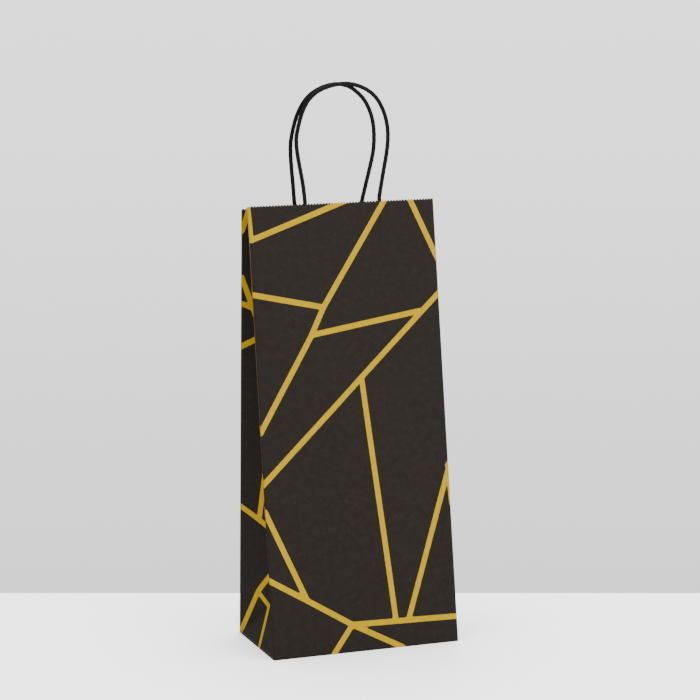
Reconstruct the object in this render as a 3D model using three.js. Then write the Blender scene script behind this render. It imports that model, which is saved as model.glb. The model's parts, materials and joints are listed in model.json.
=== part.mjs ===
// A tall block-bottom paper gift bag for one wine bottle, with two twisted-paper cord handles.
// One printed sheet is folded into a tube and creased, so each flat between two creases is a mesh of
// its own: front, back, four gusset halves, two corner triangles, and the folded bottom.
// Millimetres, +Z up. The origin is the middle of the bottom, the front faces -Y, +X is to the right.
import * as THREE from 'three';

// The sheet
const bagWidth = 140;
const bagDepth = 76;
const panelHeight = 318;
const paper = 0.3;
const gap = 0.3;
const frontLean = THREE.MathUtils.degToRad(9.45);
const backLean = THREE.MathUtils.degToRad(2);
const backDrop = 3;
const seamLap = 13;

// The pinked top edge
const toothCount = 63;
const toothDepth = 1.1;

// The gussets: how many strips each half is ruled in, and the room at their creases
const footRow = 4;
const gussetStrips = 7;
const creaseRoom = 0.1;

// The bottom
const flapOverlap = 17;
const joggleStart = 2;
const joggleLength = 1;
const tuckReach = 46;
const tuckTip = 20;
const tuckRoom = 0.6;
const cornerCut = 0.5;

// The handles and the paper patches that glue them in
const cordDiameter = 3;
const cordGrip = 30;
const cordSides = 8;
const loopSteps = 30;
const patchWidth = 86;
const patchHeight = 38;
const patchInset = 8;
const bendRoom = 2.1;
const loopClearance = 0.65;
const frontTiltShare = 0.75;

// Each loop from its left leg to its right one, as [across, up] from the top edge's middle
const frontLoop = [
  [-26.2, 0], [-27.6, 12], [-29.7, 23.5], [-31.6, 35], [-32, 44], [-29.9, 54], [-27.1, 62.5],
  [-22.5, 70.5], [-15.6, 76.3], [-6, 79.9], [4.8, 81.2], [14, 79.6], [22.5, 75.6], [29, 69.5],
  [33.7, 60.7], [36.3, 51], [36.8, 42], [35.8, 32], [33.5, 20], [31.6, 10], [29.8, 0],
];
const rearLoop = [
  [-31.7, 0], [-32.8, 13.7], [-33.9, 25.2], [-34.6, 36.7], [-34.2, 45.2], [-31.8, 56.2], [-28.8, 64.5],
  [-23.8, 72.7], [-17.5, 78.2], [-9.2, 82], [0.2, 83.4], [8.8, 81.5], [15.1, 77.3], [20.8, 71.4],
  [25.2, 62.9], [27.5, 54.2], [28.2, 44.4], [27.5, 34.4], [25, 23.1], [22.1, 11.7], [19.2, 0],
];

// Where the outer faces run
const halfWidth = bagWidth / 2;
const halfDepth = bagDepth / 2;
const topLevel = panelHeight * Math.cos(frontLean);
const backHeight = (topLevel - backDrop) / Math.cos(backLean);
const frontAt = (z) => -halfDepth + z * Math.tan(frontLean);
const backAt = (z) => halfDepth - z * Math.tan(backLean);
const middleAt = (z) => (frontAt(z) + backAt(z)) / 2;

// A gusset half is as wide as half the bag's depth, so the crease between two halves moves inward
// as the walls come together
const inwardAt = (z) => Math.sqrt(halfDepth ** 2 - ((backAt(z) - frontAt(z)) / 2) ** 2);

// The corner triangle below that crease is as high as half the depth, and leans in with it
const apexInward = inwardAt(halfDepth);
const apexHeight = Math.sqrt(halfDepth ** 2 - apexInward ** 2);
const apexMiddle = middleAt(halfDepth);
const triangleLean = Math.asin(apexInward / halfDepth);
const creaseDrop = halfDepth - apexHeight;

const bag = new THREE.Group();
const frontWall = new THREE.Group();
const backWall = new THREE.Group();
frontWall.position.y = -halfDepth;
frontWall.rotation.x = -frontLean;
backWall.position.y = halfDepth;
backWall.rotation.x = backLean;
bag.add(frontWall, backWall);

const printedPaper = new THREE.MeshStandardMaterial({ color: 0x34302d, roughness: 0.62 });
const plainKraft = new THREE.MeshStandardMaterial({ color: 0xa98258, roughness: 0.85 });
const blackCord = new THREE.MeshStandardMaterial({ color: 0x19191a, roughness: 0.7 });

function addMesh(parent, name, geometry, material) {
  const mesh = new THREE.Mesh(geometry, material);
  mesh.name = name;
  parent.add(mesh);
  return mesh;
}

// A sheet of paper over a grid of points: at(u, v) is the middle of its thickness. Both faces split
// their quads along the same diagonal, so a twisted sheet keeps its thickness
function sheet(at, columns, rows) {
  const corners = [];
  const triangles = [];
  const step = 1e-3;
  for (const face of [0.5, -0.5]) {
    for (let row = 0; row <= rows; row += 1) {
      for (let column = 0; column <= columns; column += 1) {
        const [u, v] = [column / columns, row / rows];
        const [backU, backV] = [Math.min(u, 1 - step), Math.min(v, 1 - step)];
        const along = at(backU + step, v).sub(at(backU, v));
        const up = at(u, backV + step).sub(at(u, backV));
        const out = along.cross(up).setLength(face * paper);
        corners.push(...at(u, v).add(out).toArray());
      }
    }
  }
  const front = (column, row) => row * (columns + 1) + column;
  const back = (column, row) => front(column, row) + (columns + 1) * (rows + 1);
  const wall = (from, to) => {
    const [a, b, c, d] = [front(...from), front(...to), back(...to), back(...from)];
    triangles.push(a, c, b, a, d, c);
  };
  for (let row = 0; row < rows; row += 1) {
    for (let column = 0; column < columns; column += 1) {
      const square = [[column, row], [column + 1, row], [column + 1, row + 1], [column, row + 1]];
      const [a, b, c, d] = square.map((corner) => front(...corner));
      const [e, f, g, h] = square.map((corner) => back(...corner));
      triangles.push(a, b, c, a, c, d, e, g, f, e, h, g);
    }
    wall([columns, row], [columns, row + 1]);
    wall([0, row + 1], [0, row]);
  }
  for (let column = 0; column < columns; column += 1) {
    wall([column, 0], [column + 1, 0]);
    wall([column + 1, rows], [column, rows]);
  }
  const geometry = new THREE.BufferGeometry();
  geometry.setAttribute('position', new THREE.Float32BufferAttribute(corners, 3));
  geometry.setIndex(triangles);
  return geometry;
}

// A flat sheet cut to an outline, lying in the XZ plane with its thickness along +Y
function flatSheet(points) {
  const outline = new THREE.Shape(points.map(([x, z]) => new THREE.Vector2(x, z)));
  const geometry = new THREE.ExtrudeGeometry(outline, { depth: paper, bevelEnabled: false });
  geometry.rotateX(Math.PI / 2);
  geometry.translate(0, paper, 0);
  return geometry;
}

// A main panel: three straight sides and a pinked top
function pinkedPanel(height) {
  const points = [[-halfWidth, paper + gap], [halfWidth, paper + gap]];
  const pitch = bagWidth / toothCount;
  for (let i = 0; i <= 2 * toothCount; i += 1) {
    const tip = i % 2 === 1;
    points.push([halfWidth - (i * pitch) / 2, tip ? height : height - toothDepth]);
  }
  return flatSheet(points);
}

// The gusset halves, each ruled from a main edge to the centre crease
const rowHeights = [footRow];
for (let strip = 0; strip <= gussetStrips; strip += 1) {
  rowHeights.push(THREE.MathUtils.lerp(halfDepth, topLevel, strip / gussetStrips));
}
const edgeSetback = { front: paper + gap + paper / 2, rear: 2 * paper + 2 * gap + paper / 2 };

function heightAtRow(v) {
  const place = v * (rowHeights.length - 1);
  const row = Math.min(Math.floor(place), rowHeights.length - 2);
  return THREE.MathUtils.lerp(rowHeights[row], rowHeights[row + 1], place - row);
}

function gussetHalf(side, end) {
  const front = end === 'front';
  const toEdge = front ? -1 : 1;
  const edgeTop = front ? topLevel : topLevel - backDrop;
  const edge = (z) => {
    const y = front ? frontAt(z) + edgeSetback.front : backAt(z) - edgeSetback.rear;
    return new THREE.Vector3(side * (halfWidth - paper / 2), y, Math.min(z, edgeTop));
  };
  const crease = (z) => {
    const aside = toEdge * (paper / 2 + gap / 2 + creaseRoom);
    if (z >= halfDepth) {
      const x = side * (halfWidth - inwardAt(z));
      return new THREE.Vector3(x, middleAt(z) + aside, z - creaseDrop);
    }
    const share = z / halfDepth;
    const x = side * (halfWidth - paper / 2 - apexInward * share);
    const y = THREE.MathUtils.lerp(toEdge * halfDepth, apexMiddle, share);
    const point = new THREE.Vector3(x, y + aside, apexHeight * share);
    return point.lerp(edge(z), (paper + gap) / point.distanceTo(edge(z)));
  };
  const at = (u, v) => {
    const z = heightAtRow(v);
    return edge(z).lerp(crease(z), u);
  };
  return sheet(at, 1, rowHeights.length - 1);
}

// The corner triangle, hinged on the bottom's side edge and leaning in
function cornerTriangle(side) {
  const inset = 4 * gap;
  const foot = (3 * (paper + gap)) / Math.cos(triangleLean) + paper;
  const outline = [
    [-halfDepth + inset + foot, foot],
    [halfDepth - inset - foot, foot],
    [apexMiddle + inset, halfDepth - inset],
    [apexMiddle - inset, halfDepth - inset],
  ];
  const geometry = flatSheet(outline);
  geometry.rotateZ(Math.PI / 2);
  geometry.translate(side > 0 ? 0 : paper, 0, 0);
  geometry.rotateY(-side * triangleLean);
  geometry.translate(side * halfWidth, 0, 0);
  return geometry;
}

// The bottom's two long flaps. Each narrows at 45 degrees, and the rear one steps up over the front
const flapReach = halfDepth + flapOverlap / 2;

function bottomFlap(end) {
  const front = end === 'front';
  const lap = bagDepth - flapReach;
  const joggle = lap - joggleStart;
  const stations = front ? [0, flapReach] : [0, joggle, joggle + joggleLength, flapReach];
  const last = stations.length - 1;
  const at = (u, v) => {
    const place = v * last;
    const row = Math.min(Math.floor(place), last - 1);
    const run = THREE.MathUtils.lerp(stations[row], stations[row + 1], place - row);
    const lift = !front && row >= 1 ? (paper + gap) * Math.min((run - stations[1]) / joggleLength, 1) : 0;
    const x = (2 * u - 1) * (halfWidth - cornerCut - run);
    return new THREE.Vector3(x, (front ? 1 : -1) * (run - halfDepth), lift + paper / 2);
  };
  return sheet(at, 1, last);
}

// A side tuck lies on the flaps inside, between the two main panels
function sideTuck(side) {
  const level = 2 * (paper + gap);
  const wide = halfDepth - 2 * gap - paper - tuckRoom;
  const narrow = tuckTip / 2;
  const from = halfWidth - gap;
  const outline = [[from, -wide], [from - tuckReach, -narrow], [from - tuckReach, narrow], [from, wide]];
  const shape = new THREE.Shape(outline.map(([x, y]) => new THREE.Vector2(side * x, y)));
  const geometry = new THREE.ExtrudeGeometry(shape, { depth: paper, bevelEnabled: false });
  geometry.translate(0, 0, level);
  return geometry;
}

addMesh(frontWall, 'front_panel', pinkedPanel(panelHeight), printedPaper);
addMesh(backWall, 'back_panel', pinkedPanel(backHeight), printedPaper).position.y = -2 * paper - gap;
const seam = [[-halfWidth, paper + gap], [-halfWidth + seamLap, paper + gap],
  [-halfWidth + seamLap, backHeight - toothDepth], [-halfWidth, backHeight - toothDepth]];
addMesh(backWall, 'glue_seam_flap', flatSheet(seam), printedPaper).position.y = -paper;

for (const [sideName, side] of [['left', -1], ['right', 1]]) {
  for (const end of ['front', 'rear']) {
    addMesh(bag, `${sideName}_gusset_${end}_half`, gussetHalf(side, end), printedPaper);
  }
  addMesh(bag, `${sideName}_bottom_triangle`, cornerTriangle(side), printedPaper);
  addMesh(bag, `bottom_${sideName}_tuck`, sideTuck(side), plainKraft);
}
addMesh(bag, 'bottom_front_flap', bottomFlap('front'), printedPaper);
addMesh(bag, 'bottom_rear_flap', bottomFlap('rear'), printedPaper);

// The patch over the cords lies flat on the other patch and rises in a hump over each cord
const humpTop = cordDiameter / 2 + gap + paper / 2;
const humpFoot = 2 * humpTop;

function humpedPatch(legs, low, flatAt, inner) {
  const stations = [-patchWidth / 2, patchWidth / 2];
  for (const leg of legs) {
    stations.push(leg - humpFoot, leg - humpTop, leg + humpTop, leg + humpFoot);
  }
  stations.sort((a, b) => a - b);
  const last = stations.length - 1;
  const at = (u, v) => {
    const place = u * last;
    const column = Math.min(Math.floor(place), last - 1);
    const x = THREE.MathUtils.lerp(stations[column], stations[column + 1], place - column);
    const away = Math.min(...legs.map((leg) => Math.abs(x - leg)));
    const rise = THREE.MathUtils.clamp((humpFoot - away) / (humpFoot - humpTop), 0, 1);
    const y = flatAt + rise * (cordDiameter + gap);
    return new THREE.Vector3(x, inner * y, low + v * patchHeight);
  };
  return sheet(at, last, 1);
}

// How far a cord's middle lies behind the wall's outer face, past the wall and its patch
const cordDepth = (skin) => skin + 2 * gap + paper + cordDiameter / 2;

// The loops lean toward each other until their tops are a clearance apart
const frontSkin = paper;
const rearSkin = 2 * paper + gap;
const frontPivot = frontAt(0) + (panelHeight + bendRoom) * Math.sin(frontLean)
  + cordDepth(frontSkin) * Math.cos(frontLean);
const rearPivot = backAt(0) - (backHeight + bendRoom) * Math.sin(backLean)
  - cordDepth(rearSkin) * Math.cos(backLean);
const loopTop = Math.max(...[...frontLoop, ...rearLoop].map(([, up]) => up));
const tiltRoom = rearPivot - frontPivot - cordDiameter - loopClearance;
const loopTilt = Math.asin(tiltRoom / loopTop);
const frontLoopTilt = -frontTiltShare * loopTilt;
const rearLoopTilt = (1 - frontTiltShare) * loopTilt;

// A handle: two strips of paper glued to the wall with the cord's ends between them, and its loop,
// which turns about the line where the cord leaves the top edge. inner points into the bag
function addHandle(wall, name, height, skin, inner, points, tilt) {
  const radius = cordDiameter / 2;
  const cordAt = cordDepth(skin);
  const low = height - patchInset - patchHeight;
  const legs = [points[0][0], points[points.length - 1][0]];
  const strip = [[-patchWidth / 2, low], [patchWidth / 2, low],
    [patchWidth / 2, low + patchHeight], [-patchWidth / 2, low + patchHeight]];
  const outer = addMesh(wall, `${name}_patch_outer`, flatSheet(strip), plainKraft);
  outer.position.y = inner > 0 ? skin + gap : -skin - gap - paper;
  const flatAt = skin + 2 * gap + paper + paper / 2;
  addMesh(wall, `${name}_patch_inner`, humpedPatch(legs, low, flatAt, inner), plainKraft);
  const endLength = cordGrip + patchInset - toothDepth;
  for (const [legName, leg] of [['left', legs[0]], ['right', legs[1]]]) {
    const stub = new THREE.CylinderGeometry(radius, radius, endLength, cordSides);
    stub.rotateX(Math.PI / 2);
    stub.translate(leg, inner * cordAt, height - toothDepth - endLength / 2);
    addMesh(wall, `${name}_handle_${legName}_end`, stub, blackCord);
  }
  const route = new THREE.CatmullRomCurve3(points.map(([x, z]) => new THREE.Vector3(x, 0, z)));
  const section = new THREE.Shape();
  section.absarc(0, 0, radius, 0, 2 * Math.PI, false);
  const loop = new THREE.ExtrudeGeometry(section, {
    steps: loopSteps, curveSegments: cordSides, extrudePath: route,
  });
  const mesh = addMesh(wall, `${name}_handle_loop`, loop, blackCord);
  mesh.position.set(0, inner * cordAt, height + bendRoom);
  mesh.rotation.x = tilt;
}

addHandle(frontWall, 'front', panelHeight, frontSkin, 1, frontLoop, frontLoopTilt + frontLean);
addHandle(backWall, 'rear', backHeight, rearSkin, -1, rearLoop, rearLoopTilt - backLean);

export default bag;
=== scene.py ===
# %% [markdown]
# # A paper bottle bag
# One printed sheet of kraft paper is folded into a tall block-bottom bag, and two twisted paper cords
# are glued inside its mouth. The imported CAD model is the frame: it fixes every size. The walls, the seam,
# the corner triangles and the bottom pieces built here ride on its bodies; the gusset halves and cords do
# not.

# %% Load the frame
import json
import math

import bpy
import numpy as np
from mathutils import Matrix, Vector


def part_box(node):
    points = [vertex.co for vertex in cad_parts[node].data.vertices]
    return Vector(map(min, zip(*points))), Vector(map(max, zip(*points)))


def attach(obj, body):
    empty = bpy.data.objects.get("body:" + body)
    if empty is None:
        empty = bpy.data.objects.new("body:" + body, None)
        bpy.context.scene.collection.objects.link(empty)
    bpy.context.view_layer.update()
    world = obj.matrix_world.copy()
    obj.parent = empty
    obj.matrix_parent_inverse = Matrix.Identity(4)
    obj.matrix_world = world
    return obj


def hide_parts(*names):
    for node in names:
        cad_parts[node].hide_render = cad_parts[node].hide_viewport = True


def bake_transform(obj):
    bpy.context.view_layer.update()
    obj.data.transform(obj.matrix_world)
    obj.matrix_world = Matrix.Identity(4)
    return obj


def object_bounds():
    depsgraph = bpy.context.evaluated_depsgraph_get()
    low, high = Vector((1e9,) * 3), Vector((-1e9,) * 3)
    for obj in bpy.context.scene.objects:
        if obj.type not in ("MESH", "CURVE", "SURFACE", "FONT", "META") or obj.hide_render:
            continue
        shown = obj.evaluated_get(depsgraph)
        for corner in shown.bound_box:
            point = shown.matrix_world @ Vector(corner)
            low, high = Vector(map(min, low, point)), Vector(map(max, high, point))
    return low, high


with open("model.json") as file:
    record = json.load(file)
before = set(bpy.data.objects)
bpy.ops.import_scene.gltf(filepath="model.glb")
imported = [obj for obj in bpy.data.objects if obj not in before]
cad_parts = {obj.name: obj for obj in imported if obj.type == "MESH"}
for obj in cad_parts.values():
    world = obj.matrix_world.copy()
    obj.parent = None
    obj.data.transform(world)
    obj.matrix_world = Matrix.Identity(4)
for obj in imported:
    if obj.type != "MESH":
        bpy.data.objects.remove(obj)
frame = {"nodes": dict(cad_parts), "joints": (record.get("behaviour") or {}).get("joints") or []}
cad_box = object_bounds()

MM = 0.001
low_corner, high_corner = (Vector(corner) for corner in cad_box)
print("CAD box in mm:", [round(side / MM, 1) for side in high_corner - low_corner])

# %% [markdown]
# ## The bag's own sizes
# A maker thinks of this bag as four creased faces, so the script works in millimetres and asks the
# frame for the sizes. The creases that carry the gussets are hinges, and their axes give the lean of
# the front and back walls.

# %% Sizes taken from the frame
joints = {joint["name"]: joint for joint in frame["joints"]}
front_edge = joints["left_front_gusset_fold"]["axis"]
rear_edge = joints["left_rear_gusset_fold"]["axis"]
FRONT_LEAN = math.atan2(front_edge[1], front_edge[2])
BACK_LEAN = math.atan2(-rear_edge[1], rear_edge[2])
HALF_WIDTH = high_corner.x / MM
HALF_DEPTH = high_corner.y / MM
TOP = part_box("front_panel")[1].z / MM
FRONT_HEIGHT = TOP / math.cos(FRONT_LEAN)
BACK_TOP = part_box("back_panel")[1].z / MM
BACK_HEIGHT = BACK_TOP / math.cos(BACK_LEAN)
PAPER = 0.25
LAP_STEP = 0.6
print("panel height", round(FRONT_HEIGHT, 1), "lean", round(math.degrees(FRONT_LEAN), 2))


def front_at(z):
    return -HALF_DEPTH + z * math.tan(FRONT_LEAN)


def back_at(z):
    return HALF_DEPTH - z * math.tan(BACK_LEAN)


def crease_inward(z):
    """How far the gusset's centre crease is pushed in: each half is as wide as half the depth."""
    half_gap = (back_at(z) - front_at(z)) / 2
    return math.sqrt(max(HALF_DEPTH**2 - half_gap**2, 0.0))


APEX_INWARD = crease_inward(HALF_DEPTH)
APEX_HEIGHT = math.sqrt(HALF_DEPTH**2 - APEX_INWARD**2)
APEX_MIDDLE = (front_at(HALF_DEPTH) + back_at(HALF_DEPTH)) / 2
CREASE_DROP = HALF_DEPTH - APEX_HEIGHT
print("corner triangle's tip in mm:", [round(n, 1) for n in (APEX_INWARD, APEX_MIDDLE, APEX_HEIGHT)])

# %% [markdown]
# ## Camera
# A long lens keeps the tall walls nearly parallel, as in a product picture. The camera stands a little
# to the left and above, so it sees the front wall, a sliver of the left gusset and the loops.

# %% Camera
CAMERA_PLACE = (-0.6518, -1.7355, 0.5388)
CAMERA_TURN = math.radians(20.62)
CAMERA_PITCH = math.radians(10.06)
CAMERA_LENS = 136.9
camera_data = bpy.data.cameras.new("camera")
camera_data.lens = CAMERA_LENS
camera_data.sensor_width = 36
camera_data.clip_end = 50
camera = bpy.data.objects.new("camera", camera_data)
camera.location = CAMERA_PLACE
camera.rotation_euler = (math.pi / 2 - CAMERA_PITCH, 0, -CAMERA_TURN)
bpy.context.scene.collection.objects.link(camera)
bpy.context.scene.camera = camera
print("camera", camera.location[:], "lens", camera_data.lens)

# %% [markdown]
# ## The flat sheet
# The printed sheet is drawn once, flat, the way a printer sees it. Across runs round the bag from the
# middle of the front: the right gusset follows at +70, the back at +146 and the left gusset at -70.
# Up is the height above the bottom crease, so the bottom flaps are below nought. Because every face
# looks its ink up in the same flat drawing, the yellow lines run on round each crease.

# %% The printed lines, across and up in millimetres
GUSSET = 2 * HALF_DEPTH
RIGHT_REAR = HALF_WIDTH + GUSSET
BACK_FAR = RIGHT_REAR + 2 * HALF_WIDTH
PRINTED_LINES = [
    # front
    [(-70, 320), (-68.5, 294), (4, 319)],
    [(34, 320), (-18, 244.5), (-29, 224), (-70, 159)],
    [(-70, 256), (-18, 244.5)],
    [(-28, 225.5), (55, 238)],
    [(70, 250), (7.5, 193.5), (-70, 123)],
    [(51, 320), (70, 276)],
    [(7.5, 193.5), (23, 20)],
    [(70, 124.5), (33, 20)],
    [(-70, 104), (-42.5, 39.5)],
    [(-70, 56), (-42.5, 39.5), (-10, 19.5), (27, 0)],
    [(-10, 19.5), (70, 18)],
    [(-10, 19.5), (-25, 0)],
    # left gusset
    [(-70, 318), (-108, 306), (-139, 318), (-146, 297)],
    [(-70, 256), (-146, 212)],
    [(-146, 262), (-130, 221.5)],
    [(-146, 243), (-111.5, 232.5)],
    [(-70, 159), (-108, 200), (-122, 178), (-130.5, 89)],
    [(-146, 95), (-108, 78), (-70, 56)],
    [(-70, 123), (-112, 82)],
    [(-70, 104), (-92, 99)],
    [(-100, 74.5), (-127.5, 36.5), (-146, 0)],
    [(-127, 36), (-115, 28), (-103, 0)],
    # right gusset
    [(70, 250), (108, 284), (146, 300)],
    [(70, 276), (92, 236), (146, 226)],
    [(70, 124.5), (84, 164), (146, 190)],
    [(69.5, 127), (71, 99), (108, 66), (146, 60)],
    [(84, 164), (100, 112), (108, 66), (120, 0)],
    [(70, 18), (146, 8)],
    # back
    [(146, 300), (190, 320)],
    [(146, 226), (187, 246), (232, 320)],
    [(187, 246), (286, 212)],
    [(262, 220), (286, 262)],
    [(210, 284), (286, 297)],
    [(146, 190), (206, 150), (236, 229)],
    [(146, 60), (176, 96), (206, 150), (286, 95)],
    [(176, 96), (204, 30), (286, 0)],
    [(146, 8), (204, 30), (212, 0)],
    [(258, 222), (286, 243)],
    # bottom flaps
    [(27, 0), (62, -46)],
    [(-25, 0), (-44, -46)],
    [(-44, -46), (-4, -30), (44, -22)],
    [(212, 0), (232, -46)],
    [(232, -46), (206, -24), (160, -10)],
]
LINE_WIDTH = 4.0
FAR_FROM_INK = 99.0
print(len(PRINTED_LINES), "printed lines,", LINE_WIDTH, "mm wide")


def ink_distance(across, up):
    """Distance in millimetres from points on the flat sheet to the middle of the nearest line."""
    points = np.stack([across, up], -1)
    nearest = np.full(len(points), FAR_FROM_INK)
    for line in PRINTED_LINES:
        for start, end in zip(line, line[1:]):
            start, run = np.array(start, float), np.subtract(end, start)
            share = np.clip((points - start) @ run / (run @ run), 0, 1)
            gap = np.linalg.norm(points - start - share[:, None] * run, axis=1)
            nearest = np.minimum(nearest, gap)
    return nearest


# %% [markdown]
# ## Materials
# Each material is a small tree of nodes. One helper adds a node, sets its properties and connects its
# inputs, and another turns the familiar hex colours into the linear values that Blender mixes.

# %% Helpers for node trees
def colour(hex_code):
    """An sRGB hex colour as linear red, green, blue and alpha."""
    parts = [int(hex_code[i : i + 2], 16) / 255 for i in (0, 2, 4)]
    return [p / 12.92 if p <= 0.04045 else ((p + 0.055) / 1.055) ** 2.4 for p in parts] + [1.0]


def add_node(tree, kind, inputs=None, **settings):
    """Adds a node. A socket given as an input is linked, and anything else is its value."""
    node = tree.nodes.new(kind)
    for name, value in settings.items():
        setattr(node, name, value)
    for key, value in (inputs or {}).items():
        if isinstance(value, bpy.types.NodeSocket):
            tree.links.new(value, node.inputs[key])
        else:
            node.inputs[key].default_value = value
    return node


def new_material(name, roughness, gloss=0.5, ior=1.5):
    """A material with one Principled shader, and the shader and tree to build on."""
    material = bpy.data.materials.new(name)
    material.use_nodes = True
    tree = material.node_tree
    shader = tree.nodes["Principled BSDF"]
    shader.inputs["Roughness"].default_value = roughness
    shader.inputs["IOR"].default_value = ior
    shader.inputs["Specular IOR Level"].default_value = gloss
    return material, tree, shader


def share_of(tree, value, start, end, low=0.0, high=1.0):
    """Maps value from start..end to low..high, clamped."""
    ends = {"Value": value, "From Min": start, "From Max": end, "To Min": low, "To Max": high}
    return add_node(tree, "ShaderNodeMapRange", ends).outputs["Result"]


def grain(tree, where, size_mm, stretch=(1, 1, 1), detail=3.0):
    """Noise whose features are about size_mm across, on coordinates in metres."""
    wide = add_node(tree, "ShaderNodeMapping", {"Vector": where, "Scale": stretch})
    scale = 1 / (size_mm * MM)
    place = {"Vector": wide.outputs["Vector"], "Scale": scale, "Detail": detail}
    return add_node(tree, "ShaderNodeTexNoise", place).outputs["Fac"]


def mix(tree, share, first, second, blend="MIX"):
    node = add_node(tree, "ShaderNodeMix", data_type="RGBA", blend_type=blend)
    for index, value in ((0, share), (6, first), (7, second)):
        if isinstance(value, bpy.types.NodeSocket):
            tree.links.new(value, node.inputs[index])
        else:
            node.inputs[index].default_value = value
    return node.outputs[2]


# %% [markdown]
# ### Printed kraft paper
# The bag is brown kraft with a flood of black ink and yellow lines over it, printed by flexo. Such ink
# sinks into the fibres, so the black is a warm charcoal, mottled, and a little lighter where a fold has
# cracked it. Each mesh carries two measures of the flat sheet, the distance to the nearest line and to
# the nearest fold, and the shader only has to compare them with real widths.

# %% Printed paper
FLOOD_INK = colour("302b26")
FLOOD_INK_THIN = colour("39322c")
LINE_INK = colour("fbd20a")
LINE_INK_THICK = colour("f4c404")
BARE_FIBRE = colour("8d7454")
FIBRE_MM = 0.7
MOTTLE_MM = 5.0
INK_SPREAD_MM = 0.12
CRACK_WIDTH_MM = 0.4


def printed_paper():
    material, tree, shader = new_material("flexo_printed_kraft_paper", 0.58, gloss=0.15)
    sheet = add_node(tree, "ShaderNodeUVMap", uv_map="sheet").outputs["UV"]
    fibres = grain(tree, sheet, FIBRE_MM, (1.0, 0.35, 1.0), 6.0)
    mottle = grain(tree, sheet, MOTTLE_MM, detail=5.0)
    wobble = share_of(tree, fibres, 0.3, 0.7, -INK_SPREAD_MM, INK_SPREAD_MM)
    to_line = add_node(tree, "ShaderNodeAttribute", attribute_name="to_line").outputs["Fac"]
    rough_edge = {0: to_line, 1: wobble}
    edge = add_node(tree, "ShaderNodeMath", rough_edge, operation="ADD").outputs["Value"]
    half = LINE_WIDTH / 2
    yellow = share_of(tree, edge, half + 0.1, half - 0.1)
    flood = mix(tree, share_of(tree, mottle, 0.35, 0.7), FLOOD_INK, FLOOD_INK_THIN)
    flood = mix(tree, share_of(tree, fibres, 0.62, 0.8, 0.0, 0.35), flood, BARE_FIBRE)
    lines = mix(tree, share_of(tree, mottle, 0.3, 0.7), LINE_INK, LINE_INK_THICK)
    ink = mix(tree, yellow, flood, lines)
    to_fold = add_node(tree, "ShaderNodeAttribute", attribute_name="to_fold").outputs["Fac"]
    near_fold = share_of(tree, to_fold, CRACK_WIDTH_MM, 0.0)
    cracked = {0: near_fold, 1: share_of(tree, fibres, 0.5, 0.68, 0.0, 0.3)}
    crack = add_node(tree, "ShaderNodeMath", cracked, operation="MULTIPLY").outputs["Value"]
    worn = mix(tree, crack, ink, BARE_FIBRE)
    tree.links.new(worn, shader.inputs["Base Color"])
    tree.links.new(share_of(tree, mottle, 0.3, 0.7, 0.5, 0.66), shader.inputs["Roughness"])
    bump = {"Height": fibres, "Strength": 0.35, "Distance": 0.06 * MM}
    tree.links.new(add_node(tree, "ShaderNodeBump", bump).outputs["Normal"], shader.inputs["Normal"])
    return material


PRINTED = printed_paper()
print("made", PRINTED.name)

# %% [markdown]
# ### Bare kraft
# The inside of the bag, the cut edges and the handle patches are unprinted brown kraft: long fibres
# from softwood pulp, darker flecks, and almost no gloss.

# %% Bare kraft paper
KRAFT = colour("b58d60")
KRAFT_DARK = colour("9a744a")
KRAFT_FLECK = colour("6d4c2c")


def bare_kraft():
    material, tree, shader = new_material("bare_kraft_paper", 0.85)
    place = add_node(tree, "ShaderNodeTexCoord").outputs["Object"]
    fibres = grain(tree, place, 0.8, (1.0, 1.0, 0.3), 6.0)
    clouds = grain(tree, place, 7.0, detail=4.0)
    pulp = mix(tree, share_of(tree, clouds, 0.35, 0.65), KRAFT, KRAFT_DARK)
    flecked = mix(tree, share_of(tree, fibres, 0.6, 0.72, 0.0, 0.45), pulp, KRAFT_FLECK)
    tree.links.new(flecked, shader.inputs["Base Color"])
    bump = {"Height": fibres, "Strength": 0.4, "Distance": 0.06 * MM}
    tree.links.new(add_node(tree, "ShaderNodeBump", bump).outputs["Normal"], shader.inputs["Normal"])
    return material


BARE = bare_kraft()
print("made", BARE.name)

# %% [markdown]
# ## Folding the sheet
# Every face of the bag is the same kind of thing: a grid on the flat sheet, lifted into place by a
# function of across and up. One helper builds the printed side, offsets it by the paper's thickness
# for the bare side, and closes the rim, so each face is a real thin solid. The grid is about a
# millimetre fine, which is what lets the ink lines follow it with sharp edges.

# %% A face of the bag from the flat sheet
TOOTH_DEPTH = 1.1
TEETH = 63
ROOM_BELOW_TEETH = 0.5


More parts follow.
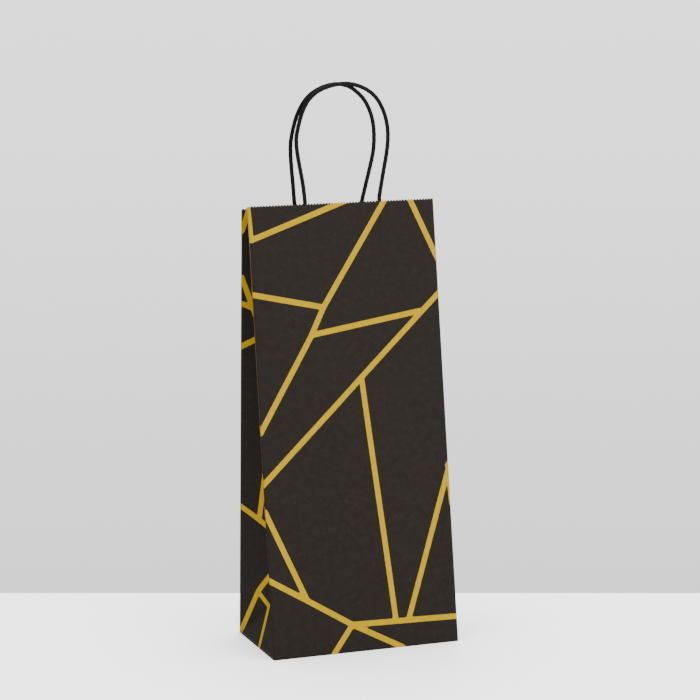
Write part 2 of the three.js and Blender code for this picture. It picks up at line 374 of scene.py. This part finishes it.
def face_mesh(name, grid, across, up, to_fold, ink_from=None):
    """grid is rows x columns x 3 points in mm on the printed side; across and up are flat places."""
    rows, columns = grid.shape[:2]
    along = np.gradient(grid, axis=1)
    upward = np.gradient(grid, axis=0)
    normal = np.cross(along, upward)
    normal /= np.maximum(np.linalg.norm(normal, axis=2, keepdims=True), 1e-9)
    points = np.concatenate([grid.reshape(-1, 3), (grid - normal * PAPER).reshape(-1, 3)]) * MM
    index = np.arange(rows * columns).reshape(rows, columns)
    squares = np.stack([index[:-1, :-1], index[:-1, 1:], index[1:, 1:], index[1:, :-1]], -1)
    outside = squares.reshape(-1, 4)
    inside = outside[:, ::-1] + rows * columns
    loop = np.concatenate([index[0, :-1], index[:-1, -1], index[-1, :0:-1], index[:0:-1, 0]])
    after = np.roll(loop, -1)
    rim = np.stack([loop, loop + rows * columns, after + rows * columns, after], -1)
    mesh = bpy.data.meshes.new(name)
    mesh.from_pydata(points.tolist(), [], np.concatenate([outside, inside, rim]).tolist())
    mesh.materials.append(PRINTED)
    mesh.materials.append(BARE)
    bare = np.ones(len(mesh.polygons), np.int32)
    bare[: len(outside)] = 0
    bare[2 * len(outside) :] = 0
    mesh.polygons.foreach_set("material_index", bare)
    mesh.polygons.foreach_set("use_smooth", np.arange(len(bare)) < 2 * len(outside))
    flat = np.stack([across, up], -1).reshape(-1, 2)
    ink = ink_distance(*(flat if ink_from is None else ink_from.reshape(-1, 2)).T)
    for key, value in (("to_line", ink), ("to_fold", to_fold.ravel())):
        attribute = mesh.attributes.new(key, "FLOAT", "POINT")
        attribute.data.foreach_set("value", np.tile(value, 2).astype(np.float32))
    corner_point = np.zeros(len(mesh.loops), np.int32)
    mesh.loops.foreach_get("vertex_index", corner_point)
    sheet_place = np.tile(flat, (2, 1))[corner_point] * MM
    uv = mesh.uv_layers.new(name="sheet")
    uv.data.foreach_set("uv", sheet_place.astype(np.float32).ravel())
    piece = bpy.data.objects.new(name, mesh)
    bpy.context.scene.collection.objects.link(piece)
    print(name, len(mesh.polygons), "faces")
    return piece


def pinked(height, columns):
    """The top of each column: pinking shears leave a row of small points."""
    return np.where(np.arange(columns) % 2 == 1, height, height - TOOTH_DEPTH)


def flat_grid(column_places, tops, rows):
    """Across and up for a face whose columns all start at the bottom crease."""
    share = np.linspace(0, 1, rows)[:, None]
    level = np.minimum(tops.min() - ROOM_BELOW_TEETH, share * tops.min())
    up = np.broadcast_to(level, (rows, len(column_places))).copy()
    up[-1] = tops
    across = np.broadcast_to(column_places, up.shape).copy()
    return across, up


# %% [markdown]
# ### Where the handles run
# Each loop is a short list of points, across and up from where the cord leaves the top edge. The walls
# need them first, because the cords' glued ends show through the paper. A loop's first and last points
# are its two legs.

# %% The loops' points in millimetres
FRONT_LOOP = [
    (-26.2, 0), (-27.6, 12), (-29.7, 23.5), (-31.6, 35), (-32, 44), (-29.9, 54), (-27.1, 62.5),
    (-22.5, 70.5), (-15.6, 76.3), (-6, 79.9), (4.8, 81.2), (14, 79.6), (22.5, 75.6), (29, 69.5),
    (33.7, 60.7), (36.3, 51), (36.8, 42), (35.8, 32), (33.5, 20), (31.6, 10), (29.8, 0),
]
REAR_LOOP = [
    (-31.7, 0), (-32.8, 13.7), (-33.9, 25.2), (-34.6, 36.7), (-34.2, 45.2), (-31.8, 56.2), (-28.8, 64.5),
    (-23.8, 72.7), (-17.5, 78.2), (-9.2, 82), (0.2, 83.4), (8.8, 81.5), (15.1, 77.3), (20.8, 71.4),
    (25.2, 62.9), (27.5, 54.2), (28.2, 44.4), (27.5, 34.4), (25, 23.1), (22.1, 11.7), (19.2, 0),
]
FRONT_LEGS = [FRONT_LOOP[0][0], FRONT_LOOP[-1][0]]
REAR_LEGS = [REAR_LOOP[0][0], REAR_LOOP[-1][0]]
print("legs across:", FRONT_LEGS, REAR_LEGS)

# %% [markdown]
# ### The slack of real paper
# Paper that has been folded flat never quite forgets it. A few long, shallow waves, pinned at the
# creases, stop the big faces from looking like sheet metal. The cords' ends and the paper patch that
# are glued behind the wall also show through as a faint relief, and hold the paper flat there.

# %% Waves and relief
# each wave has its share of the height, its turns per mm across and up, and its shift of phase
SLACK_WAVES = [(0.5, 0.045, 0.012, 1.0), (0.35, -0.03, 0.031, 2.1), (0.15, 0.09, 0.05, 0.7)]


def slack(across, up, amplitude, phase):
    """The sum of a few long waves, at most about amplitude high."""
    wave = 0
    for share, turn_across, turn_up, shift in SLACK_WAVES:
        wave = wave + np.sin(across * turn_across + up * turn_up + shift * phase) * share
    return amplitude * wave


def soft_step(value, start, end):
    """Rises smoothly from 0 at start to 1 at end."""
    share = np.clip((value - start) / (end - start), 0, 1)
    return share * share * (3 - 2 * share)


PATCH_INSET = 8.0
PATCH_HEIGHT = 38.0
PATCH_HALF = (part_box("front_patch_outer")[1].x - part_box("front_patch_outer")[0].x) / MM / 2
CORD_GRIP = 30.0
PATCH_FADE = 20.0
PATCH_EDGE = 0.6
PATCH_RELIEF = 0.1
CORD_RELIEF = 0.28
CORD_RELIEF_WIDTH = 1.9
CORD_RADIUS = 1.5


def glued_relief(x, up, height, legs):
    """The patch lifts the wall a hair, and each cord's end lifts it a little more."""
    patch = soft_step(PATCH_HALF - np.abs(x), -PATCH_EDGE, PATCH_EDGE)
    patch = patch * soft_step(height - PATCH_INSET - up, -PATCH_EDGE, PATCH_EDGE)
    patch = patch * soft_step(up - height + PATCH_INSET + PATCH_HEIGHT, -PATCH_EDGE, PATCH_EDGE)
    cords = np.zeros_like(x)
    for leg in legs:
        beside = np.exp(-(((x - leg) / CORD_RELIEF_WIDTH) ** 2))
        gripped = soft_step(up - height + PATCH_INSET + CORD_GRIP, -CORD_RADIUS, CORD_RADIUS)
        cords += beside * gripped
    return PATCH_RELIEF * patch + CORD_RELIEF * cords


def free_of_patch(x, up, height):
    """0 where the wall is glued to its stiff patch, rising to 1 where the paper is free to wave."""
    beside = soft_step(PATCH_HALF - np.abs(x), -PATCH_FADE, 0)
    above = soft_step(up - height + PATCH_INSET + PATCH_HEIGHT, -PATCH_FADE, 0)
    return 1 - beside * above


# %% [markdown]
# ### Front and back walls
# Both walls are the full width of the bag, and their tops are pinked. Near the side creases the paper
# turns through a small radius towards the gusset, which catches a thin line of light.

# %% The two walls
ROWS = 240
FRONT_PHASE, BACK_PHASE = 0.4, 1.9
SLACK_MM = 0.8
FLAT_FOOT = 60
FOLD_RADIUS = 0.5


def wall_piece(name, side, height, lean, legs, setback, phase):
    """side is -1 for the front and +1 for the back, whose across runs the other way."""
    x_flat = np.linspace(-HALF_WIDTH, HALF_WIDTH, 2 * TEETH + 1)
    if side > 0:
        x_flat = x_flat[::-1]
    x, up = flat_grid(x_flat, pinked(height, len(x_flat)), ROWS)
    turn = np.clip(np.abs(x) - HALF_WIDTH + FOLD_RADIUS, 0, None) / FOLD_RADIUS
    inward = FOLD_RADIUS * (1 - np.cos(turn * math.pi / 2))
    pinned = (1 - (x / HALF_WIDTH) ** 2) * soft_step(up, 0, FLAT_FOOT) * free_of_patch(x, up, height)
    out = slack(x, up, SLACK_MM, phase) * pinned + glued_relief(x, up, height, legs) - inward - setback
    y = side * (HALF_DEPTH - up * math.sin(lean) + out * math.cos(lean))
    z = up * math.cos(lean) + out * math.sin(lean)
    across = x if side < 0 else RIGHT_REAR + HALF_WIDTH - x
    to_fold = np.minimum(HALF_WIDTH - np.abs(x), up)
    return face_mesh(name, np.stack([x, y, z], -1), across, up, to_fold)


front_wall = wall_piece("printed_front_wall", -1, FRONT_HEIGHT, FRONT_LEAN, FRONT_LEGS, 0, FRONT_PHASE)
back_wall = wall_piece("printed_back_wall", 1, BACK_HEIGHT, BACK_LEAN, REAR_LEGS, LAP_STEP, BACK_PHASE)
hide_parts("front_panel")
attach(front_wall, "front_wall")
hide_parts("back_panel")
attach(back_wall, "bag_base")

# %% [markdown]
# ### The glued seam
# The tube is closed by a strip that laps over the back wall's edge. The two ends of the sheet never
# meet exactly, so the print on the lap is out of step by a millimetre or so.

# %% The seam's lap
LAP_WIDTH = 13.0
LAP_MISMATCH = 1.6
LAP_COLUMNS = 14
LAP_PROUD = 0.05
LAP_SETTLES = 3


def seam_piece():
    places = np.linspace(-HALF_WIDTH + LAP_WIDTH, -HALF_WIDTH, LAP_COLUMNS)
    x, up = flat_grid(places, np.full(LAP_COLUMNS, BACK_HEIGHT - TOOTH_DEPTH), ROWS)
    inward = FOLD_RADIUS * np.clip(np.abs(x) - HALF_WIDTH + FOLD_RADIUS, 0, None)
    settled = soft_step(-HALF_WIDTH + LAP_WIDTH - x, LAP_SETTLES, 0)
    out = LAP_PROUD - LAP_STEP / 2 * settled - inward
    y = HALF_DEPTH - up * math.sin(BACK_LEAN) + out
    z = up * math.cos(BACK_LEAN)
    across = -RIGHT_REAR - (x + HALF_WIDTH)
    to_fold = np.minimum(x + HALF_WIDTH, -HALF_WIDTH + LAP_WIDTH - x)
    ink_from = np.stack([BACK_FAR - (x + HALF_WIDTH), up + LAP_MISMATCH], -1)
    return face_mesh("glued_seam_lap", np.stack([x, y, z], -1), across, up, to_fold, ink_from)


seam = seam_piece()
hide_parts("glue_seam_flap")
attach(seam, "bag_base")

# %% [markdown]
# ### Gussets
# Each side is a gusset of two halves that fold inward along a centre crease. A half is a ruled
# surface: straight lines run from the main edge to the centre crease. Below the corner crease the
# paper belongs to the bottom's triangle instead, so a half starts there as a point.

# %% The four gusset halves
HALF_TEETH = 17
FIRST_ROW = 0.4
EDGE_DROPS_OVER = 60
GUSSET_SLACK_MM = 0.7
GUSSET_CALM, GUSSET_FREE = 20, 90
GUSSET_PHASE = {"front": 2, "rear": 5}
SIDE_PHASE = 1.3


def edge_point(end, z):
    """A point of the main edge. The rear one drops near the top, to meet the lower back wall."""
    if end == "front":
        return np.array([HALF_WIDTH, front_at(z) + FOLD_RADIUS, z])
    drop = (TOP - BACK_TOP) * soft_step(z, TOP - EDGE_DROPS_OVER, TOP)
    return np.array([HALF_WIDTH, back_at(z) - LAP_STEP - FOLD_RADIUS, z - drop])


def crease_point(end, z):
    """A point of the centre crease, or of the corner crease where z is below its tip."""
    if z >= HALF_DEPTH:
        middle = (front_at(z) + back_at(z)) / 2
        return np.array([HALF_WIDTH - crease_inward(z), middle, z - CREASE_DROP])
    share = z / HALF_DEPTH
    corner = edge_point(end, 0)
    tip = np.array([HALF_WIDTH - APEX_INWARD, APEX_MIDDLE, APEX_HEIGHT])
    return corner + (tip - corner) * share


def gusset_half(side, end):
    """side is -1 for the left and +1 for the right."""
    columns = 2 * HALF_TEETH + 1
    heights = np.linspace(FIRST_ROW, TOP - TOOTH_DEPTH, ROWS)
    share = np.linspace(0, 1, columns)
    grid = np.zeros((ROWS, columns, 3))
    across = np.zeros((ROWS, columns))
    up = np.zeros((ROWS, columns))
    for row, z in enumerate(heights):
        edge, crease = edge_point(end, z), crease_point(end, z)
        grid[row] = edge + (crease - edge) * share[:, None]
        across[row] = min(z, HALF_DEPTH) * share
        up[row] = z
    teeth = pinked(TOOTH_DEPTH, columns)
    grid[-1, :, 2] += teeth
    up[-1] += teeth
    ridge = np.sin(across / HALF_DEPTH * math.pi) * soft_step(up, GUSSET_CALM, GUSSET_FREE)
    bulge = slack(across, up, GUSSET_SLACK_MM, SIDE_PHASE * side + GUSSET_PHASE[end]) * ridge
    grid[..., 0] += bulge
    to_fold = np.minimum(across, np.minimum(up, HALF_DEPTH) - across)
    grid[..., 0] *= side
    from_edge = HALF_WIDTH + across if end == "front" else RIGHT_REAR - across
    if side * (1 if end == "rear" else -1) > 0:
        grid, from_edge, up, to_fold = (a[:, ::-1] for a in (grid, from_edge, up, to_fold))
    name = f"{'left' if side < 0 else 'right'}_gusset_{end}"
    return face_mesh(name, grid, side * from_edge, up, to_fold)


for side, side_name in ((-1, "left"), (1, "right")):
    for end, wall in (("front", "front_wall"), ("rear", "bag_base")):
        half = gusset_half(side, end)
        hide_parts(f"{side_name}_gusset_{end}_half")
        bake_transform(half)

# %% [markdown]
# ### Corner triangles and the bottom
# A block bottom leaves a triangle at the foot of each gusset. Underneath, the side tucks go in first,
# and the two long flaps are glued over them, one lapping the other.

# %% Triangles, flaps and tucks
TRIANGLE_LOW, TRIANGLE_HIGH = 0.005, 0.985


def corner_triangle(side):
    rows, columns = 40, 70
    share = np.linspace(TRIANGLE_LOW, TRIANGLE_HIGH, rows)[:, None]
    along = np.linspace(0, 1, columns)[None, :]
    foot_front = edge_point("front", 0)
    foot_rear = edge_point("rear", 0)
    tip = np.array([HALF_WIDTH - APEX_INWARD, APEX_MIDDLE, APEX_HEIGHT])
    base = foot_front + (foot_rear - foot_front) * along[..., None]
    grid = base + (tip - base) * share[..., None]
    across = HALF_WIDTH + (2 * HALF_DEPTH * along) * (1 - share) + HALF_DEPTH * share
    up = HALF_DEPTH * share + 0 * along
    beside = np.minimum(along, 1 - along) * 2 * HALF_DEPTH * (1 - share)
    to_fold = np.minimum(beside, up)
    grid[..., 0] *= side
    if side < 0:
        grid, across, up, to_fold = (a[:, ::-1] for a in (grid, across, up, to_fold))
    return face_mesh(f"{'left' if side < 0 else 'right'}_corner", grid, side * across, up, to_fold)


FLAP_REACH = 46.5
FLAP_LIFT = 0.6
FLAP_SIDE_GAP = 0.3
FLAP_STEP_RUN = 4
FLAP_OFF_TABLE = 0.03


def bottom_flap(end):
    rows, columns = 44, 120
    run = np.linspace(0.0, FLAP_REACH, rows)[:, None]
    share = np.linspace(-1, 1, columns)[None, :]
    x = share * (HALF_WIDTH - FLAP_SIDE_GAP - run)
    lap = 2 * HALF_DEPTH - FLAP_REACH
    z = 0 * x if end == "front" else FLAP_LIFT * soft_step(run + 0 * x, lap - FLAP_STEP_RUN, lap)
    direction = 1 if end == "front" else -1
    y = direction * (run - HALF_DEPTH) + 0 * x
    across = x if end == "front" else RIGHT_REAR + HALF_WIDTH - x
    up = -run + 0 * x
    grid = np.stack([x, y, z + FLAP_OFF_TABLE], -1)
    to_fold = np.minimum(run, (1 - np.abs(share)) * HALF_WIDTH)
    if end == "front":
        grid, across, up, to_fold = (a[:, ::-1] for a in (grid, across, up, to_fold))
    return face_mesh(f"bottom_flap_{end}", grid, across, up, to_fold)


TUCK_REACH = 46.0
TUCK_TIP = 20.0
TUCK_START = 0.4
TUCK_SIDE_GAP = 1.5
TUCK_HEIGHT = 1.2


def side_tuck(side):
    rows, columns = 30, 60
    run = np.linspace(TUCK_START, TUCK_REACH, rows)[:, None]
    share = np.linspace(-1, 1, columns)[None, :]
    narrowing = TUCK_TIP / 2 - HALF_DEPTH + TUCK_SIDE_GAP
    half = (HALF_DEPTH - TUCK_SIDE_GAP) + narrowing * run / TUCK_REACH
    x = side * (HALF_WIDTH - run) + 0 * share
    y = share * half
    grid = np.stack([x, y, np.full_like(x, TUCK_HEIGHT)], -1)
    across = side * (HALF_WIDTH + HALF_DEPTH + y)
    up = -run + 0 * share
    to_fold = run + 0 * share
    if side > 0:
        grid, across, up, to_fold = (a[:, ::-1] for a in (grid, across, up, to_fold))
    return face_mesh(f"bottom_tuck_{'left' if side < 0 else 'right'}", grid, across, up, to_fold)


for side, side_name in ((-1, "left"), (1, "right")):
    triangle = corner_triangle(side)
    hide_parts(f"{side_name}_bottom_triangle")
    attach(triangle, f"{side_name}_corner")
    tuck = side_tuck(side)
    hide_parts(f"bottom_{side_name}_tuck")
    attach(tuck, "bag_base")
for end in ("front", "rear"):
    flap = bottom_flap(end)
    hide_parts(f"bottom_{end}_flap")
    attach(flap, "bag_base")

# %% [markdown]
# ## Handles
# Each handle is one length of paper cord: strips of black kraft twisted into strands and laid
# together. Its ends are glued between two patches, and it leaves the mouth upright, so the loop stands
# by its own stiffness. Geometry Nodes suit it well, because a cord is a profile swept along a path:
# the profile has a lobe for each strand, and turning it steadily makes the lay of the rope.

# %% Cord material
# Strips of black-dyed kraft, twisted hard: small slanting creases, greyer where they rub, little gloss.
CORD_DYE = colour("0f0f0f")
CORD_DYE_WORN = colour("1d1c1b")
CREASE_PITCH_MM = 1.1
CREASES_ROUND = 3.0


def cord_paper():
    material, tree, shader = new_material("dyed_twisted_paper", 0.62, gloss=0.3)
    along = add_node(tree, "ShaderNodeAttribute", attribute_name="along").outputs["Fac"]
    around = add_node(tree, "ShaderNodeAttribute", attribute_name="around").outputs["Fac"]
    turns = add_node(tree, "ShaderNodeMath", {0: along, 1: 1 / (CREASE_PITCH_MM * MM)}, operation="MULTIPLY")
    slant = add_node(tree, "ShaderNodeMath", {0: around, 1: CREASES_ROUND}, operation="MULTIPLY")
    lay = {0: turns.outputs[0], 1: slant.outputs[0]}
    phase = add_node(tree, "ShaderNodeMath", lay, operation="ADD").outputs[0]
    place = add_node(tree, "ShaderNodeTexCoord").outputs["Object"]
    fray = grain(tree, place, 0.8, detail=4.0)
    shaken = add_node(tree, "ShaderNodeMath", {0: phase, 1: fray}, operation="ADD").outputs[0]
    ridge = add_node(tree, "ShaderNodeMath", {0: shaken, 1: 1.0}, operation="PINGPONG").outputs[0]
    worn = share_of(tree, fray, 0.55, 0.75, 0.0, 0.8)
    tree.links.new(mix(tree, worn, CORD_DYE, CORD_DYE_WORN), shader.inputs["Base Color"])
    bump = {"Height": ridge, "Strength": 0.5, "Distance": 0.12 * MM}
    tree.links.new(add_node(tree, "ShaderNodeBump", bump).outputs["Normal"], shader.inputs["Normal"])
    return material


CORD_PAPER = cord_paper()

# %% [markdown]
# ### Sweeping a laid cord
# The tree takes the route as a mesh of edges. It resamples it evenly, tilts each point by how far along
# it lies, and sweeps a ring that is pulled in between the strands. Changing the lay length or the
# number of strands gives another rope.

# %% The cord's node tree
cord_tree = bpy.data.node_groups.new("laid_cord", "GeometryNodeTree")
panel = cord_tree.interface
panel.new_socket("Geometry", in_out="INPUT", socket_type="NodeSocketGeometry")
for socket_name in ("Diameter", "Lay length", "Groove", "Step"):
    panel.new_socket(socket_name, in_out="INPUT", socket_type="NodeSocketFloat")
panel.new_socket("Strands", in_out="INPUT", socket_type="NodeSocketInt")
panel.new_socket("Material", in_out="INPUT", socket_type="NodeSocketMaterial")
panel.new_socket("Geometry", in_out="OUTPUT", socket_type="NodeSocketGeometry")


def reckon(operation, first, second):
    node = add_node(cord_tree, "ShaderNodeMath", {0: first, 1: second}, operation=operation)
    return node.outputs[0]


given = add_node(cord_tree, "NodeGroupInput").outputs
path = add_node(cord_tree, "GeometryNodeMeshToCurve", {"Mesh": given["Geometry"]}).outputs["Curve"]
even = {"Curve": path, "Length": given["Step"]}
path = add_node(cord_tree, "GeometryNodeResampleCurve", even, mode="LENGTH").outputs["Curve"]
run = add_node(cord_tree, "GeometryNodeSplineParameter").outputs["Length"]
tilt = reckon("MULTIPLY", reckon("DIVIDE", run, given["Lay length"]), 2 * math.pi)
path = add_node(cord_tree, "GeometryNodeSetCurveTilt", {"Curve": path, "Tilt": tilt}).outputs["Curve"]
tag = {"Geometry": path, "Name": "along", "Value": run}
path = add_node(cord_tree, "GeometryNodeStoreNamedAttribute", tag).outputs["Geometry"]
PROFILE_POINTS = 30
ring = {"Resolution": PROFILE_POINTS, "Radius": 1.0}
ring = add_node(cord_tree, "GeometryNodeCurvePrimitiveCircle", ring).outputs["Curve"]
turn = add_node(cord_tree, "GeometryNodeInputIndex").outputs["Index"]
turn = reckon("DIVIDE", turn, float(PROFILE_POINTS))
lobe = reckon("MULTIPLY", reckon("MULTIPLY", turn, given["Strands"]), math.pi)
lobe = add_node(cord_tree, "ShaderNodeMath", {0: lobe}, operation="SINE").outputs[0]
lobe = add_node(cord_tree, "ShaderNodeMath", {0: lobe}, operation="ABSOLUTE").outputs[0]
groove = reckon("MULTIPLY", reckon("SUBTRACT", 1.0, lobe), given["Groove"])
reach = reckon("MULTIPLY", reckon("SUBTRACT", 1.0, groove), reckon("DIVIDE", given["Diameter"], 2.0))
spot = add_node(cord_tree, "GeometryNodeInputPosition").outputs["Position"]
scaled = {0: spot, "Scale": reach}
scaled = add_node(cord_tree, "ShaderNodeVectorMath", scaled, operation="SCALE").outputs[0]
moved = {"Geometry": ring, "Position": scaled}
ring = add_node(cord_tree, "GeometryNodeSetPosition", moved).outputs["Geometry"]
tag = {"Geometry": ring, "Name": "around", "Value": turn}
ring = add_node(cord_tree, "GeometryNodeStoreNamedAttribute", tag).outputs["Geometry"]
swept = {"Curve": path, "Profile Curve": ring, "Fill Caps": True}
swept = add_node(cord_tree, "GeometryNodeCurveToMesh", swept).outputs["Mesh"]
swept = add_node(cord_tree, "GeometryNodeRealizeInstances", {"Geometry": swept}).outputs["Geometry"]
finish = {"Geometry": swept, "Material": given["Material"]}
finish = add_node(cord_tree, "GeometryNodeSetMaterial", finish).outputs["Geometry"]
add_node(cord_tree, "NodeGroupOutput", {"Geometry": finish})
print("cord tree has", len(cord_tree.nodes), "nodes")


# %% [markdown]
# ### Bending the cords
# A smooth curve through each loop's points is sampled finely, and the two glued ends are added below.

# %% The cords
FRONT_TILT = math.radians(1.5)
REAR_TILT = math.radians(-0.5)
LAY_LENGTH = 14.0
STRANDS = 3
GROOVE = 0.07
CORD_STEP = 0.5
GLUED_START = 2.0
GLUED_POINTS = 12


def smooth_route(points, samples=8):
    """Catmull-Rom through the points, which keeps them all on the curve."""
    ends = [2 * np.array(points[0]) - points[1], *points, 2 * np.array(points[-1]) - points[-2]]
    route = []
    for a, b, c, d in zip(ends, ends[1:], ends[2:], ends[3:]):
        a, b, c, d = (np.array(p, float) for p in (a, b, c, d))
        for t in np.arange(samples) / samples:
            bend = (2 * a - 5 * b + 4 * c - d) * t**2 + (3 * b - a - 3 * c + d) * t**3
            route.append(b + ((c - a) * t + bend) / 2)
    return [*route, np.array(points[-1], float)]


def cord_piece(name, points, pivot, tilt, lean):
    """pivot is where the cord leaves the mouth, in mm; lean is the wall's, rearwards."""
    loop = [pivot + np.array([x, z * math.sin(tilt), z * math.cos(tilt)]) for x, z in smooth_route(points)]
    glued = []
    for leg in (points[0][0], points[-1][0]):
        top = pivot + np.array([leg, 0, 0])
        down = np.array([0, -math.sin(lean), -math.cos(lean)])
        length = CORD_GRIP + PATCH_INSET + (pivot[2] - TOP) / math.cos(lean)
        glued.append([top + down * s for s in np.linspace(GLUED_START, length, GLUED_POINTS)])
    route = np.array([*glued[0][::-1], *loop, *glued[1]]) * MM
    mesh = bpy.data.meshes.new(name + "_route")
    mesh.from_pydata(route.tolist(), [(i, i + 1) for i in range(len(route) - 1)], [])
    guide = bpy.data.objects.new(name + "_route", mesh)
    bpy.context.scene.collection.objects.link(guide)
    modifier = guide.modifiers.new("laid_cord", "NODES")
    modifier.node_group = cord_tree
    wanted = {
        "Diameter": 2 * CORD_RADIUS * MM, "Lay length": LAY_LENGTH * MM, "Groove": GROOVE,
        "Step": CORD_STEP * MM, "Strands": STRANDS, "Material": CORD_PAPER,
    }
    for item in cord_tree.interface.items_tree:
        if item.in_out == "INPUT" and item.name in wanted:
            modifier[item.identifier] = wanted[item.name]
    guide.update_tag()
    bpy.context.view_layer.update()
    evaluated = guide.evaluated_get(bpy.context.evaluated_depsgraph_get())
    cord = bpy.data.objects.new(name, bpy.data.meshes.new_from_object(evaluated))
    bpy.data.objects.remove(guide)
    bpy.context.scene.collection.objects.link(cord)
    for polygon in cord.data.polygons:
        polygon.use_smooth = True
    length = np.linalg.norm(np.diff(route, axis=0), axis=1).sum()
    print(name, len(cord.data.polygons), "faces,", round(length, 3), "m of cord")
    return cord


for end, wall, points, tilt, lean in (
    ("front", "front_wall", FRONT_LOOP, FRONT_TILT, FRONT_LEAN),
    ("rear", "bag_base", REAR_LOOP, REAR_TILT, -BACK_LEAN),
):
    pivot = np.array(joints[f"{end}_handle_swing"]["pos_m"]) / MM
    cord = cord_piece(f"{end}_cord", points, pivot, tilt, lean)
    ends = [f"{end}_handle_left_end", f"{end}_handle_right_end", f"{end}_handle_loop"]
    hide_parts(*ends)
    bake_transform(cord)

# %% [markdown]
# ## Patches
# The glued patches keep their CAD shape, which is already right, and take the bare kraft finish.

# %% Patches
for node_name, node in frame["nodes"].items():
    if "patch" in node_name:
        node.data.materials.clear()
        node.data.materials.append(BARE)
        print("kraft on", node_name)

# %% [markdown]
# ## Stage and light
# A pale tabletop ends a little behind the bag. It shows the camera a painted glow that lights nothing,
# and the glow is dimmed near the bag into a painted contact shadow, which the ambient occlusion node
# measures.

# %% Tabletop
TABLE_BEHIND = 0.119
TABLE_SPAN = 3.0
TABLE_THICK = 0.03
TABLE_PAINTED_GLOW = 2.6
CONTACT_SHADE = 0.2


def tabletop():
    ahead = Vector((math.sin(CAMERA_TURN), math.cos(CAMERA_TURN), 0))
    aside = Vector((ahead.y, -ahead.x, 0))
    rim = [
        ahead * TABLE_BEHIND - aside * TABLE_SPAN,
        ahead * TABLE_BEHIND + aside * TABLE_SPAN,
        aside * TABLE_SPAN - ahead * TABLE_SPAN,
        -aside * TABLE_SPAN - ahead * TABLE_SPAN,
    ]
    upper = [(p.x, p.y, 0.0) for p in rim]
    lower = [(p.x, p.y, -TABLE_THICK) for p in rim]
    faces = [(3, 2, 1, 0), (4, 5, 6, 7), *((i, (i + 1) % 4, (i + 1) % 4 + 4, i + 4) for i in range(4))]
    mesh = bpy.data.meshes.new("tabletop")
    mesh.from_pydata(upper + lower, [], faces)
    material, tree, shader = new_material("white_table_painted_glow", 0.5, gloss=0.2)
    shader.inputs["Base Color"].default_value = colour("f4f4f5")
    # Painted glow and painted contact shadow: only camera rays see this emission, and ambient occlusion dims
    # it near the bag.
    shader.inputs["Emission Color"].default_value = colour("fcfdff")
    seen = add_node(tree, "ShaderNodeLightPath").outputs["Is Camera Ray"]
    open_sky = add_node(tree, "ShaderNodeAmbientOcclusion", {"Distance": CONTACT_SHADE}).outputs["AO"]
    painted_glow_share = add_node(tree, "ShaderNodeMath", {0: seen, 1: open_sky}, operation="MULTIPLY").outputs[0]
    painted_glow = share_of(tree, painted_glow_share, 0.0, 1.0, 0.0, TABLE_PAINTED_GLOW)
    tree.links.new(painted_glow, shader.inputs["Emission Strength"])
    mesh.materials.append(material)
    table = bpy.data.objects.new("tabletop", mesh)
    bpy.context.scene.collection.objects.link(table)


tabletop()

# %% [markdown]
# ### The room and its lights
# The world stands for a pale wall that is a little darker towards the table. To the camera it is bright,
# while the light that it throws on the bag stays low, because the area lights do the modelling.

# %% World and lights
WALL_HIGH = colour("efeef0")
WALL_LOW = colour("c6c5c6")
ROOM_LIGHT = 0.5
ROOM_SEEN = 2.4
WALL_FADE_LOW, WALL_FADE_HIGH = -0.27, -0.03
BAG_MIDDLE = Vector((0, 0, 0.16))
world = bpy.data.worlds.new("pale_room")
world.use_nodes = True
bpy.context.scene.world = world
sky = world.node_tree
direction = add_node(sky, "ShaderNodeTexCoord").outputs["Generated"]
height = add_node(sky, "ShaderNodeSeparateXYZ", {"Vector": direction}).outputs["Z"]
room = mix(sky, share_of(sky, height, WALL_FADE_LOW, WALL_FADE_HIGH), WALL_LOW, WALL_HIGH)
sky.links.new(room, sky.nodes["Background"].inputs["Color"])
seen = add_node(sky, "ShaderNodeLightPath").outputs["Is Camera Ray"]
strength = share_of(sky, seen, 0.0, 1.0, ROOM_LIGHT, ROOM_SEEN)
sky.links.new(strength, sky.nodes["Background"].inputs["Strength"])


def soft_light(name, place, size, power):
    data = bpy.data.lights.new(name, "AREA")
    data.shape = "RECTANGLE"
    data.size, data.size_y = size
    data.energy = power
    light = bpy.data.objects.new(name, data)
    light.location = place
    toward = BAG_MIDDLE - Vector(place)
    light.rotation_euler = toward.to_track_quat("-Z", "Y").to_euler()
    bpy.context.scene.collection.objects.link(light)
    print(name, power, "W")


# %% [markdown]
# One large soft light stands to the front and right, so the left gusset falls into gentle shade. A weak
# one fills that shade, and two more keep the table and the back of the bag from going dull.

# %% Four area lights
soft_light("key", (1.1, -1.9, 1.5), (1.2, 1.2), 20)
soft_light("fill", (-1.6, -1.4, 1.0), (1.5, 1.5), 4)
soft_light("top", (0.1, 0.2, 2.2), (1.6, 1.6), 18)
soft_light("back", (0.9, 2.0, 1.1), (1.2, 1.2), 10)
